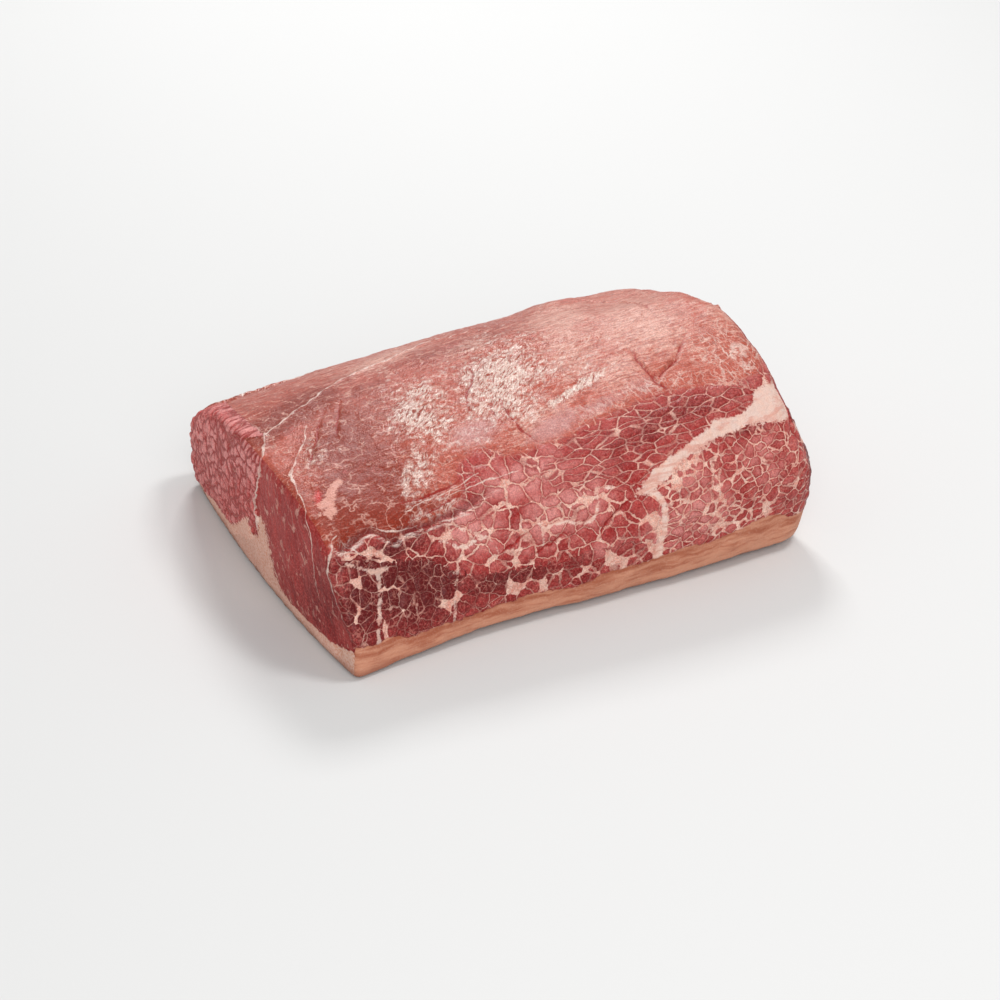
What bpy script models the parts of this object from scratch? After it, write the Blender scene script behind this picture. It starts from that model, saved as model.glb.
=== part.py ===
"""A raw beef bottom round roast: one slab of meat with its fat cap underneath.

The roast lies on its fat cap. +X runs along its length, from the freshly cut left end to the
rounded right end. -Y is the front, a long cut side that bulges over the cap. +Z is up. The origin
is at the middle of the bounding box's base. Sizes are in metres.

The body is a box primitive whose surface is carried onto cross-sections. Each cross-section is
made of four superellipse quadrants, and its proportions follow rails that run along the length.
Broad hollows and swellings then push the surface in and out. While it is being shaped, the roast
is measured from the lower front corner of its left end.
"""

import math

import bmesh
import bpy
import numpy as np

# Driving dimensions
LENGTH = 0.2018  # along the front edge of the fat cap
LEFT_ROUND = 0.0025  # radius of the cut edge round the left end
RIGHT_ROUND = 0.013  # radius round the right end
LEFT_SKEW = 0.022  # the left cut runs this far to the right by the back edge
SKEW_POWER = 1.7  # how late it does so: 1 would make the cut straight
LEFT_LEAN = -0.003  # the top of the left cut hangs over by this much
RIGHT_SKEW = 0.004  # the right end stands out this much further at the back edge
END_BULGE = 0.0015  # the middle of each end stands proud of its rim
BASE_SINK = 0.0012  # what the roast's own weight flattens off its base

# Rails: evenly spaced values from the left end to the right end
FRONT = (-0.001, 0.001, -0.003, -0.008, -0.009)  # y where the front bulges most
FRONT_LEVEL = (0.006, 0.010, 0.018, 0.026, 0.028)  # height of that bulge
BACK = (0.170, 0.162, 0.157, 0.151, 0.144)  # y where the back bulges most
BACK_LEVEL = (0.018, 0.021, 0.024, 0.025, 0.025)
CREST_Y = (0.084, 0.081, 0.076, 0.069, 0.060)  # y of the ridge along the top
CREST_Z = (0.057, 0.063, 0.068, 0.073, 0.0765)

# Superellipse powers along the same rails: 2 is an ellipse, and higher is squarer
FRONT_POWER = (3.2, 2.9, 2.5, 2.1, 1.88)
BACK_POWER = (1.7, 1.9, 1.9, 1.9, 1.9)
UNDER_FRONT_POWER = (14.0, 12.0, 10.0, 9.0, 9.0)
UNDER_BACK_POWER = (7.0, 7.0, 7.0, 6.0, 6.0)

# The front edge of the cap is lifted off the board along part of its length
LIFT = 0.002
LIFT_CENTRE = 0.056
LIFT_HALF_LENGTH = 0.062
LIFT_REACH = 0.030  # how far under the roast the lift reaches

# Broad hollows and swellings: centre, reach along each axis, and how far the surface is pushed
SWELLS = {
    "waist of the front": ((0.000, 0.005, 0.034), (0.085, 0.035, 0.024), (0.0, 0.0065, 0.0)),
    "dip at the fat seam": ((0.196, 0.004, 0.054), (0.060, 0.030, 0.017), (-0.0015, 0.0, -0.001)),
    "lobe under the seam": ((0.198, -0.008, 0.032), (0.050, 0.050, 0.020), (0.001, -0.001, 0.0)),
    "right end by the cap": ((0.198, -0.008, 0.000), (0.020, 0.080, 0.020), (-0.003, 0.0, 0.0)),
    "right shoulder": ((0.198, 0.058, 0.073), (0.045, 0.035, 0.030), (0.0025, 0.0, 0.001)),
    "dip behind the shoulder": ((0.180, 0.095, 0.071), (0.030, 0.022, 0.030), (0.0, 0.0, -0.0026)),
    "fold at the back": ((0.160, 0.116, 0.064), (0.022, 0.026, 0.030), (0.0, 0.0, 0.0018)),
}

# Mesh density
LEFT_ROWS, MIDDLE_ROWS, RIGHT_ROWS = 3, 30, 7
ACROSS_ROWS = 32
UP_ROWS = 14
CURVE_STEPS = 160  # points on each half quadrant before they are spaced evenly

MEAT_COLOUR = (0.42, 0.09, 0.08, 1.0)
MEAT_ROUGHNESS = 0.38


def rail(values, share):
    """The smooth value at share, from 0 to 1, through evenly spaced values (Catmull-Rom)."""
    ends = (2 * values[0] - values[1], *values, 2 * values[-1] - values[-2])
    at = min(max(share, 0.0), 1.0) * (len(values) - 1)
    i = min(int(at), len(values) - 2)
    t = at - i
    a, b, c, d = ends[i : i + 4]
    return b + 0.5 * t * (c - a + t * (2 * a - 5 * b + 4 * c - d + t * (3 * (b - c) + d - a)))


def smooth_bump(distance, half_width):
    """1 at distance 0, falling smoothly to 0 at half_width."""
    t = min(abs(distance) / half_width, 1.0)
    return (1 - t * t) ** 2


def quadrant(crest_y, side_y, side_z, end_z, power, phi):
    """Points of a superellipse quadrant, from its side (phi 0) to its end (phi 90 degrees)."""
    y = crest_y - (crest_y - side_y) * np.cos(phi) ** (2 / power)
    z = side_z + (end_z - side_z) * np.sin(phi) ** (2 / power)
    return np.stack([y, np.maximum(z, 0.0)], axis=1)


def evenly(points):
    """A function that gives the point at a share of the polyline's length."""
    steps = np.linalg.norm(np.diff(points, axis=0), axis=1)
    along = np.concatenate([[0.0], np.cumsum(steps)])
    along /= along[-1]
    return lambda share: np.array([np.interp(share, along, axis) for axis in points.T])


def half_section(share, side, level, over, under):
    """The front or the back half of a cross-section, as polylines from the base to the crest."""
    crest_y, crest_z = rail(CREST_Y, share), rail(CREST_Z, share)
    side_y, side_z = rail(side, share), rail(level, share)
    low = np.radians(np.linspace(0, 45, CURVE_STEPS))
    high = np.radians(np.linspace(45, 90, CURVE_STEPS))
    upper = (crest_y, side_y, side_z, crest_z, rail(over, share))
    lower = (crest_y, side_y, side_z, -BASE_SINK, rail(under, share))
    return {
        "base": quadrant(*lower, high),
        "rise": np.vstack([quadrant(*lower, low)[::-1], quadrant(*upper, low)[1:]]),
        "shoulder": quadrant(*upper, high),
    }


def cross_section(share):
    """The section's four sides as functions of their own share: front, top, back and base."""
    front = half_section(share, FRONT, FRONT_LEVEL, FRONT_POWER, UNDER_FRONT_POWER)
    back = half_section(share, BACK, BACK_LEVEL, BACK_POWER, UNDER_BACK_POWER)
    return {
        "front": evenly(front["rise"]),
        "back": evenly(back["rise"]),
        "top": evenly(np.vstack([front["shoulder"], back["shoulder"][-2::-1]])),
        "base": evenly(np.vstack([front["base"], back["base"][-2::-1]])),
    }


def rim_point(section, v, w):
    """The point of the section for (v, w) on the rim of the square from -1 to 1."""
    if abs(v) >= abs(w):
        return section["front" if v < 0 else "back"]((w + 1) / 2)
    return section["base" if w < 0 else "top"]((v + 1) / 2)


def inset_at(distance, radius):
    """How far a quarter round of this radius pulls the surface in, this far from the end."""
    rest = max(radius - distance, 0.0)
    return radius - math.sqrt(radius**2 - rest**2)


def across_and_up(section, distance, v, w):
    """y and z for a box vertex that is this far from the left end and at (v, w) on its slice."""
    share = distance / LENGTH
    crest_y, crest_z = rail(CREST_Y, share), rail(CREST_Z, share)
    heart = np.array([crest_y, crest_z / 2])
    rho = max(abs(v), abs(w))
    y, z = heart + rho * (rim_point(section, v / rho, w / rho) - heart) if rho > 0 else heart
    inset = inset_at(distance, LEFT_ROUND) + inset_at(LENGTH - distance, RIGHT_ROUND)
    half_width = (rail(BACK, share) - rail(FRONT, share)) / 2
    return crest_y + (y - crest_y) * (1 - inset / half_width), z * (1 - inset / crest_z)


def along(share, y, z, rho):
    """x for a point of the slice at this share of the length, between the two slanting ends."""
    depth = max(y / BACK[0], 0.0)
    x_left = LEFT_SKEW * depth**SKEW_POWER + LEFT_LEAN * z / rail(CREST_Z, share)
    x_right = LENGTH + RIGHT_SKEW * depth
    bulge = END_BULGE * (1 - rho**2)
    return x_left + (x_right - x_left) * share + (bulge if share > 0.5 else -bulge)


def place(section, distance, v, w):
    """The roast's point for a box vertex, before the hollows and swellings."""
    share = distance / LENGTH
    y, z = across_and_up(section, distance, v, w)
    x = along(share, y, z, max(abs(v), abs(w)))
    lift = LIFT * smooth_bump(x - LIFT_CENTRE, LIFT_HALF_LENGTH)
    lift *= smooth_bump(y - rail(FRONT, share), LIFT_REACH)
    return np.array([x, y, z + lift * (1 - z / rail(CREST_Z, share))])


def swell(point):
    """The point after all the broad hollows and swellings have pushed it."""
    moved = point.copy()
    for centre, reach, push in SWELLS.values():
        away = np.linalg.norm((point - centre) / reach)
        moved += np.array(push) * smooth_bump(away, 1.0)
    return moved


def row_distances():
    """Distances of the rows of vertices from the left end, close together round both ends."""
    left = LEFT_ROUND * (1 - np.cos(np.linspace(0, math.pi / 2, LEFT_ROWS + 1)))
    right = RIGHT_ROUND * (1 - np.cos(np.linspace(0, math.pi / 2, RIGHT_ROWS + 1)))
    middle = np.linspace(LEFT_ROUND, LENGTH - RIGHT_ROUND, MIDDLE_ROWS + 1)
    return np.concatenate([left[:-1], middle, LENGTH - right[-2::-1]])


def gridded_box(rows):
    """A box from -1 to 1 whose faces are cut into a grid, with this many rows along each axis."""
    mesh = bmesh.new()
    bmesh.ops.create_cube(mesh, size=2.0)
    for axis, count in enumerate(rows):
        edges = [
            edge
            for edge in mesh.edges
            if abs(edge.verts[0].co[axis] - edge.verts[1].co[axis]) > 1e-6
        ]
        bmesh.ops.subdivide_edges(mesh, edges=edges, cuts=count - 1, use_grid_fill=True)
    return mesh


def roast_mesh():
    """The gridded box carried onto the sections and swollen into shape."""
    distances = row_distances()
    last_row = len(distances) - 1
    sections = [cross_section(distance / LENGTH) for distance in distances]
    mesh = gridded_box((last_row, ACROSS_ROWS, UP_ROWS))
    for vertex in mesh.verts:
        u, v, w = vertex.co
        row = round((u + 1) / 2 * last_row)
        vertex.co = swell(place(sections[row], distances[row], v, w))
    return mesh


def centre_on_base(mesh):
    """Moves the mesh so that the middle of its bounding box's base is the origin."""
    points = np.array([vertex.co for vertex in mesh.verts])
    low, high = points.min(axis=0), points.max(axis=0)
    shift = np.array([(low[0] + high[0]) / 2, (low[1] + high[1]) / 2, low[2]])
    for vertex, point in zip(mesh.verts, points):
        vertex.co = point - shift


def raw_meat():
    """Moist raw beef."""
    material = bpy.data.materials.new("raw_beef")
    material.use_nodes = True
    surface = material.node_tree.nodes["Principled BSDF"]
    surface.inputs["Base Color"].default_value = MEAT_COLOUR
    surface.inputs["Roughness"].default_value = MEAT_ROUGHNESS
    surface.inputs["Metallic"].default_value = 0.0
    return material


def main():
    for old in list(bpy.data.objects):
        bpy.data.objects.remove(old)
    collection = bpy.data.collections.new("bottom_round_roast")
    bpy.context.scene.collection.children.link(collection)

    grid = roast_mesh()
    centre_on_base(grid)
    data = bpy.data.meshes.new("roast")
    grid.to_mesh(data)
    grid.free()
    data.shade_smooth()
    data.materials.append(raw_meat())
    collection.objects.link(bpy.data.objects.new("roast", data))


main()
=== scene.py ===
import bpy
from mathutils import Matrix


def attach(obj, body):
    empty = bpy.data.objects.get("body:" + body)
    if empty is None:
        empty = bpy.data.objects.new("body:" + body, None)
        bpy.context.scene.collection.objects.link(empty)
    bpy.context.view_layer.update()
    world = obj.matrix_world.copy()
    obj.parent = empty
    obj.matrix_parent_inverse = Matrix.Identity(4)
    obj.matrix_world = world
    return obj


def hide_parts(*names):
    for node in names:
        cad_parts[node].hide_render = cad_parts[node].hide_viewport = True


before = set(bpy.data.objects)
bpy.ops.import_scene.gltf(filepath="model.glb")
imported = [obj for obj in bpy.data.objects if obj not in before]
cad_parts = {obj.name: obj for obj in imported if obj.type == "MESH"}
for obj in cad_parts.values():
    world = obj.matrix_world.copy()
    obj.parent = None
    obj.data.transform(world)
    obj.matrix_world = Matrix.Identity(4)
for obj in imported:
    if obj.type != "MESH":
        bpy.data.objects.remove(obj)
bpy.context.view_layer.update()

# The looks of a raw beef bottom round roast, in the frame of its CAD solid.
#
# The solid is replaced by one dense mesh. Named lines and outlines, drawn in the picture's pixels and
# cast onto the solid, say where the fat, the cuts and the membrane are. They are kept on the mesh as
# distances in millimetres, and the same fields shape the relief and the material. A side that the
# camera can't see takes its fields from its twin: the back from the front, and the right end from
# the left end.

import math

import bmesh
import bpy
import numpy as np
from mathutils import Vector
from mathutils.bvhtree import BVHTree

MM = 0.001

# ---------------------------------------------------------------- camera

PICTURE = 1000.0  # pixels across and down
LENS = 94.0
SENSOR = 36.0
CAMERA_PLACE = np.array([-0.48495, -0.76790, 0.49746])
CAMERA_AZIMUTH = math.radians(-32.85)
CAMERA_ELEVATION = math.radians(28.37)

SIDEWAYS = np.array([math.cos(CAMERA_AZIMUTH), math.sin(CAMERA_AZIMUTH), 0.0])
FORWARDS = np.array(
    [
        -math.sin(CAMERA_AZIMUTH) * math.cos(CAMERA_ELEVATION),
        math.cos(CAMERA_AZIMUTH) * math.cos(CAMERA_ELEVATION),
        -math.sin(CAMERA_ELEVATION),
    ]
)
UPWARDS = np.cross(SIDEWAYS, FORWARDS)
FOCAL_PIXELS = LENS / SENSOR * PICTURE


def to_pixels(points):
    """The picture's pixel for each point."""
    away = points - CAMERA_PLACE
    depth = away @ FORWARDS
    u = PICTURE / 2 + FOCAL_PIXELS * (away @ SIDEWAYS) / depth
    v = PICTURE / 2 - FOCAL_PIXELS * (away @ UPWARDS) / depth
    return np.stack([u, v], axis=1)


def ray_through(pixel):
    """The direction from the camera through a pixel."""
    u, v = pixel
    ray = (
        FORWARDS
        + SIDEWAYS * (u - PICTURE / 2) / FOCAL_PIXELS
        - UPWARDS * (v - PICTURE / 2) / FOCAL_PIXELS
    )
    return Vector(ray / np.linalg.norm(ray))


def add_camera():
    camera = bpy.data.objects.new("camera", bpy.data.cameras.new("camera"))
    camera.data.lens = LENS
    camera.data.sensor_width = SENSOR
    camera.data.clip_start = 0.01
    camera.location = CAMERA_PLACE
    camera.rotation_euler = (math.pi / 2 - CAMERA_ELEVATION, 0.0, CAMERA_AZIMUTH)
    bpy.context.scene.collection.objects.link(camera)
    bpy.context.scene.camera = camera


# ---------------------------------------------------------------- marks, in the picture's pixels

# The cut face at the left end
END = [
    (120, 380), (200, 390), (225, 402), (246, 420), (265, 436), (278, 452), (292, 472), (303, 490),
    (312, 504), (324, 522), (334, 537), (331, 552), (328, 568), (333, 586), (338, 602), (345, 625),
    (353, 652), (356, 700), (120, 700),
]
# The muscle at the back of the left end, with the finer grain
FAR_MUSCLE = [
    (120, 380), (215, 390), (250, 420), (264, 437), (263, 455), (259, 485), (256, 501), (259, 524),
    (252, 540), (235, 534), (180, 520), (120, 480),
]
# The wedge of fat under it
WEDGE = [
    (200, 520), (232, 524), (243, 520), (249, 516), (252, 530), (258, 536), (257, 516), (263, 520),
    (268, 542), (274, 570), (282, 590), (292, 602), (290, 640), (240, 620),
]
# Where the membrane of the top ends and the cut grain of the front begins
CUT = [
    (322, 548), (345, 552), (371, 533), (392, 539), (412, 528), (433, 521), (453, 508), (464, 492),
    (456, 474), (464, 458), (484, 450), (506, 456), (524, 452), (545, 446), (560, 440), (578, 432),
    (600, 422), (632, 404), (667, 394), (690, 387), (736, 383), (756, 373), (775, 352), (850, 380),
    (860, 500), (800, 600), (560, 680), (356, 730), (300, 680), (318, 600),
]
# The lower part of the front, with smaller bundles
BLOCK = [
    (320, 556), (350, 560), (390, 562), (430, 560), (455, 572), (500, 574), (560, 562), (610, 546),
    (640, 540), (660, 540), (700, 600), (560, 680), (356, 730), (300, 680),
]
# The muscle at the right, under the broad seam of fat
LOBE = [
    (636, 500), (652, 476), (675, 463), (700, 449), (716, 438), (735, 431), (750, 425), (782, 421),
    (830, 400), (860, 500), (800, 600), (660, 600), (656, 552), (664, 530), (662, 505), (646, 493),
]
# Long grain bundles above the seam, cut aslant
STRIP = [
    (540, 474), (560, 445), (590, 428), (632, 404), (667, 395), (690, 388), (740, 387), (758, 392),
    (750, 410), (738, 419), (712, 425), (690, 442), (671, 457), (650, 474), (628, 490), (600, 493),
    (575, 491), (552, 488),
]
# The broad seam of fat at the right
SEAM = [
    (830, 360), (792, 372), (773, 380), (754, 391), (750, 405), (738, 416), (714, 420), (709, 427),
    (691, 441), (671, 457), (652, 471), (634, 495), (648, 495), (668, 479), (675, 464), (700, 450),
    (716, 439), (735, 431), (748, 425), (778, 422), (800, 416), (830, 420),
]

# A small pocket of fat behind the corner
POCKET = [
    (337, 478), (342, 481), (337, 491), (334, 503), (337, 514), (331, 519), (324, 515), (326, 508),
    (319, 509), (316, 504), (324, 497), (330, 488),
]

# The upper edge of the fat cap along the front, and on the left end from front to back
CAP_FRONT = [
    (340, 650), (355, 649), (380, 644), (388, 637), (414, 637), (441, 625), (478, 613), (504, 603),
    (545, 591), (573, 588), (604, 573), (655, 558), (684, 547), (709, 543), (731, 533), (762, 518),
    (777, 514), (792, 516),
]
CAP_END = [
    (354, 652), (340, 647), (328, 638), (318, 630), (304, 616), (292, 603), (282, 592), (270, 580),
    (250, 560), (232, 524), (215, 502), (199, 482),
]

# Lines of fat: each pixel with the line's width there in millimetres
FAT_LINES = {
    "seam down to the cap": [
        (645, 490, 2.0), (656, 493, 3.0), (664, 505, 2.6), (666, 524, 2.0), (660, 543, 2.8),
        (658, 562, 4.6),
    ],
    "upright seam": [
        (378, 572, 2.2), (379, 590, 1.3), (380, 612, 1.1), (379, 634, 1.4), (380, 648, 2.5),
    ],
    "top of the upright seam": [(346, 564, 0.6), (360, 569, 1.0), (378, 571, 2.4), (388, 566, 0.9)],
    "second upright seam": [(455, 573, 0.8), (456, 592, 1.1), (454, 606, 0.6), (455, 622, 0.9)],
    "web": [
        (434, 541, 0.5), (448, 543, 0.7), (462, 548, 1.5), (473, 543, 0.8), (485, 538, 1.1),
        (496, 543, 0.5), (500, 556, 0.4),
    ],
    "web to the second seam": [(462, 548, 1.4), (461, 558, 0.9), (457, 574, 0.8)],
    "web upwards": [(485, 538, 1.1), (469, 531, 0.9), (449, 523, 0.4), (437, 522, 0.3)],
    "web in the middle": [(535, 520, 0.7), (543, 531, 1.1), (544, 549, 0.7)],
    "web by the strip": [
        (543, 531, 0.8), (560, 522, 1.4), (578, 523, 0.8), (595, 519, 1.2), (598, 500, 0.9),
        (597, 489, 0.8), (612, 488, 1.0),
    ],
}

# Thin white veins, and painted glint lines drawn like veins, with their widths in millimetres
VEINS_AND_GLINTS = {
    "over the top": [
        (265, 434, 0.5), (279, 424, 0.5), (295, 410, 0.9), (307, 404, 0.6), (326, 390, 0.5),
        (338, 381, 1.0), (355, 373, 0.9), (381, 363, 1.0), (412, 348, 0.8), (433, 340, 0.5),
        (470, 330, 0.2),
    ],
    "down the end": [
        (265, 434, 0.6), (263, 455, 0.5), (259, 485, 0.9), (256, 501, 1.4), (259, 528, 1.0),
    ],
    "beside it": [
        (307, 426, 0.2), (303, 445, 0.35), (295, 463, 0.5), (291, 474, 0.7), (299, 492, 0.2),
        (307, 518, 0.45), (311, 538, 0.4), (314, 562, 0.3), (317, 592, 0.1),
    ],
    "front edge": [
        (336, 534, 0.3), (331, 548, 0.5), (329, 562, 0.45), (330, 578, 0.4), (336, 600, 0.3),
        (345, 626, 0.15),
    ],
    "along the crease": [(340, 543, 0.3), (356, 552, 0.3), (372, 556, 0.2)],
    # The next three are painted highlights, not veins: glint lines on the folds over the ledge and on the
    # shoulder
    "over the ledge": [(372, 526, 0.1), (388, 531, 0.35), (402, 529, 0.4), (420, 524, 0.1)],
    "on the shoulder": [(405, 512, 0.1), (430, 498, 0.3), (452, 490, 0.35), (478, 474, 0.1)],
    "above the shoulder": [(440, 500, 0.1), (470, 486, 0.3), (500, 478, 0.3), (520, 470, 0.1)],
}

# Where the membrane hangs over the cut grain: each pixel with the height of the step in millimetres
LEDGE = [
    (333, 549, 0.6), (343, 552, 2.0), (356, 542, 2.8), (367, 534, 2.8), (380, 537, 2.8),
    (392, 541, 2.8), (403, 534, 2.6), (421, 529, 2.4), (438, 522, 2.0), (456, 515, 1.6),
    (474, 504, 1.2), (484, 495, 0.6), (500, 488, 0.2),
]
LEDGE_REACH = 10.0

# Gashes and creases: each pixel with its depth in millimetres
GASHES = {
    "left arm of the cut": [(629, 348, 0.3), (641, 363, 1.3), (656, 379, 1.5), (669, 391, 0.6)],
    "right arm of the cut": [(683, 338, 0.3), (676, 358, 1.4), (659, 375, 1.5)],
    "back crease": [(571, 299, 0.3), (606, 301, 1.6), (634, 304, 1.0), (655, 312, 0.2)],
    "slash": [(497, 394, 0.2), (510, 413, 1.1), (527, 432, 1.0), (541, 444, 0.2)],
    "fold by the slash": [(469, 366, 0.4), (473, 380, 0.9), (466, 396, 0.8), (472, 412, 0.2)],
    "short fold": [(488, 398, 0.2), (492, 408, 0.7), (500, 418, 0.6), (508, 424, 0.1)],
    "nick": [(578, 400, 0.2), (584, 406, 0.7), (590, 411, 0.2)],
    "second nick": [(596, 396, 0.2), (603, 402, 0.5), (606, 409, 0.1)],
    "fold by the corner": [(352, 404, 0.2), (366, 398, 0.5), (384, 395, 0.1)],
    "fold in the web": [(524, 500, 0.2), (520, 512, 0.7), (510, 524, 0.2)],
    "fold over the ledge": [(390, 506, 0.2), (420, 497, 0.9), (446, 488, 0.9), (470, 474, 0.2)],
    "fold under it": [(404, 522, 0.2), (428, 511, 0.8), (450, 500, 0.8), (474, 486, 0.2)],
    "gash by the veins": [(323, 408, 0.3), (318, 430, 1.0), (313, 450, 1.6), (308, 470, 0.4)],
    "short gash": [(338, 404, 0.3), (338, 422, 1.0), (335, 437, 0.2)],
    "crease in the middle": [(499, 556, 0.3), (515, 543, 1.3), (532, 530, 0.3)],
    "next crease": [(533, 557, 0.4), (548, 546, 1.6), (566, 533, 0.5)],
    "crease by the seam": [(599, 540, 0.4), (608, 522, 1.8), (617, 511, 2.0), (634, 498, 0.4)],
    "under the lobe": [(786, 408, 0.6), (792, 424, 1.4), (800, 444, 0.4)],
}

# Soft spots of each tint: x, y, half width, half height, turn in degrees and strength
SPOTS = {
    "net": [(735, 358, 46, 34, 40, 1.0), (660, 385, 60, 10, -10, 0.8), (600, 405, 50, 10, -25, 0.5)],
    "red": [(318, 497, 5, 10, 0, 1.0), (345, 470, 6, 6, 0, 0.4), (452, 345, 20, 5, -20, 0.5),
            (375, 470, 10, 6, 0, 0.3), (560, 300, 30, 4, 0, 0.5), (292, 432, 24, 20, 30, 0.35)],
    "brown": [
        (362, 495, 44, 60, 35, 1.4), (345, 445, 50, 44, -20, 0.9), (290, 415, 66, 17, -30, 1.2),
        (400, 520, 50, 20, -25, 0.9), (375, 410, 30, 34, 20, 0.55), (395, 440, 26, 40, 20, 0.5),
        (350, 395, 44, 12, -24, 0.6), (440, 352, 60, 12, -18, 0.55), (500, 330, 50, 10, -18, 0.4),
        (300, 500, 16, 50, -25, 0.5), (470, 385, 16, 36, 10, 0.35),
    ],
    "veil": [
        (640, 325, 70, 44, 10, 0.9), (620, 370, 40, 26, -30, 0.8), (570, 345, 40, 50, -30, 0.8),
        (500, 385, 50, 40, -30, 0.5), (425, 420, 36, 40, -30, 0.35), (480, 425, 40, 22, -30, 0.5),
        (540, 420, 40, 18, -30, 0.75), (380, 360, 60, 9, -20, 0.9), (560, 318, 50, 22, -10, 0.9),
        (710, 345, 46, 40, 40, 0.35), (420, 475, 30, 24, -30, 0.4), (720, 310, 40, 30, 30, 0.6),
        (470, 345, 40, 14, -20, 0.6), (330, 372, 60, 7, -22, 0.5),
    ],
    "mauve": [
        (475, 432, 30, 16, -20, 1.0), (555, 425, 34, 14, -28, 1.0), (480, 480, 40, 20, -25, 0.5),
        (440, 500, 40, 14, -28, 0.4), (600, 405, 44, 10, -25, 0.7), (640, 385, 24, 14, -20, 0.6),
    ],
    # Wet spots lower the roughness and deepen the wrinkles; there the wrinkles also get painted highlights
    # and painted shade
    "wet": [
        (500, 385, 62, 48, -35, 1.0), (425, 415, 40, 45, -40, 1.0), (560, 370, 60, 30, -30, 0.5),
        (420, 470, 34, 34, -30, 0.7), (450, 508, 60, 14, -28, 0.8), (480, 560, 40, 12, -20, 0.6),
        (360, 548, 26, 14, -10, 0.8), (690, 455, 60, 10, -38, 0.6), (690, 410, 60, 20, -25, 0.5),
        (520, 525, 60, 20, -30, 0.5), (750, 480, 40, 30, 0, 0.3), (310, 455, 20, 34, 10, 0.5),
        (572, 390, 46, 6, -32, 1.1), (402, 446, 12, 20, 0, 0.5),
    ],
    "pink": [
        (470, 525, 34, 26, -20, 1.0), (560, 515, 60, 30, -25, 0.9), (520, 480, 60, 20, -25, 0.8),
        (700, 490, 40, 40, 0, 0.6), (690, 520, 60, 24, -20, 0.8), (610, 545, 40, 12, -20, 0.5),
        (765, 460, 40, 46, 0, 0.55), (730, 355, 50, 40, 30, 0.6), (240, 450, 40, 30, 0, 0.6),
    ],
    # Dark spots darken the lean meat; the two along the ledge, at (385, 552) and (440, 530), are painted
    # shade under its overhang
    "dark": [
        (412, 588, 50, 34, -15, 1.0), (362, 600, 20, 40, 0, 0.9), (690, 408, 70, 16, -12, 0.4),
        (640, 434, 60, 20, -32, 0.4), (385, 552, 50, 14, -20, 1.0), (440, 530, 40, 8, -30, 0.4),
        (500, 578, 60, 14, -15, 0.5), (318, 600, 24, 50, -20, 0.55), (740, 430, 40, 8, -10, 0.5),
        (600, 470, 60, 12, -35, 0.35), (215, 500, 40, 18, 30, 0.3), (790, 500, 14, 40, 0, 0.3),
    ],
    "fatty": [
        (678, 478, 26, 24, -30, 1.0), (690, 462, 50, 8, -35, 0.5), (625, 560, 40, 9, -15, 1.0),
        (655, 535, 18, 34, 0, 0.7), (735, 520, 40, 10, -20, 0.5), (560, 578, 50, 8, -15, 0.7),
        (356, 572, 20, 16, 0, 0.6), (600, 505, 20, 20, 0, 0.3), (722, 495, 20, 20, 0, 0.5),
        (462, 545, 20, 12, 0, 0.4), (545, 530, 20, 14, 0, 0.3),
    ],
}

# ---------------------------------------------------------------- the shell

PIXELS_A_MM = 4.1  # the picture's scale at the roast
SPACING = 0.95 * MM
SMOOTHINGS = 14
BASE_SKIN = 0.45 * MM  # whatever is lower than this is the flat base
REACH = 2.2  # how far a vein or a gash is felt, in millimetres
LINE_REACH = 14 * MM
LINE_STEP = 5.0  # pixels
LINE_JITTER = 0.8  # pixels
FAR_FROM_FAT = 8.0  # a distance field is clipped here, in millimetres
FAR_FROM_EDGE = 12.0  # and the distance from a region's outline here
UNDERSIDE = 20.0  # the depth in the cap that the underside is given, in millimetres
BEND_ROWS = (430.0, 445.0)  # above these rows the end's outline rules, and below them its rim does too
RIM_TURN = 0.6  # how square to X the surface is on an end
SKIRT_TOP = 36.0  # the height that the membrane reaches down to at the back, in millimetres
SKIRT_SLOPE = 1.2
DOWNWARDS = -0.5  # a surface that faces further down than this is underside
# Where the ridge, the front and the back lie in Y at the left end, and how that shifts to the right end
LENGTHWISE = ((0.004, -0.024), (-0.0815, -0.008), (0.088, -0.024))
# How the left end's face is laid on the right end's
RIGHT_END_SHIFT = 0.013
LEFT_END_WIDER = 1.12
LEFT_END_LOWER = 0.75


def dense_shell(node):
    """A copy of the node's surface in even quads, with its facets smoothed out."""
    shell = bpy.data.objects.new("shell", node.data.copy())
    bpy.context.scene.collection.objects.link(shell)
    remesh = shell.modifiers.new("even", "REMESH")
    remesh.mode = "VOXEL"
    remesh.voxel_size = SPACING
    smooth = shell.modifiers.new("smooth", "SMOOTH")
    smooth.factor = 0.5
    smooth.iterations = SMOOTHINGS
    mesh = applied(shell)
    flatten_base(mesh)
    return mesh


def flatten_base(mesh):
    """Makes the base one flat face on the floor."""
    body = bmesh.new()
    body.from_mesh(mesh)
    low = [vertex for vertex in body.verts if vertex.co.z < BASE_SKIN]
    for vertex in low:
        vertex.co.z = 0.0
    base = set(low)
    flat = [face for face in body.faces if all(vertex in base for vertex in face.verts)]
    bmesh.ops.dissolve_faces(body, faces=flat, use_verts=False)
    body.to_mesh(mesh)
    body.free()


def applied(thing):
    """A new mesh of what the object's modifiers make of it. The object goes."""
    depsgraph = bpy.context.evaluated_depsgraph_get()
    seen = thing.evaluated_get(depsgraph)
    mesh = bpy.data.meshes.new_from_object(seen, preserve_all_data_layers=True, depsgraph=depsgraph)
    bpy.data.objects.remove(thing)
    return mesh


def smoothstep(low, high, value):
    t = np.clip((value - low) / (high - low), 0.0, 1.0)
    return t * t * (3 - 2 * t)


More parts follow.
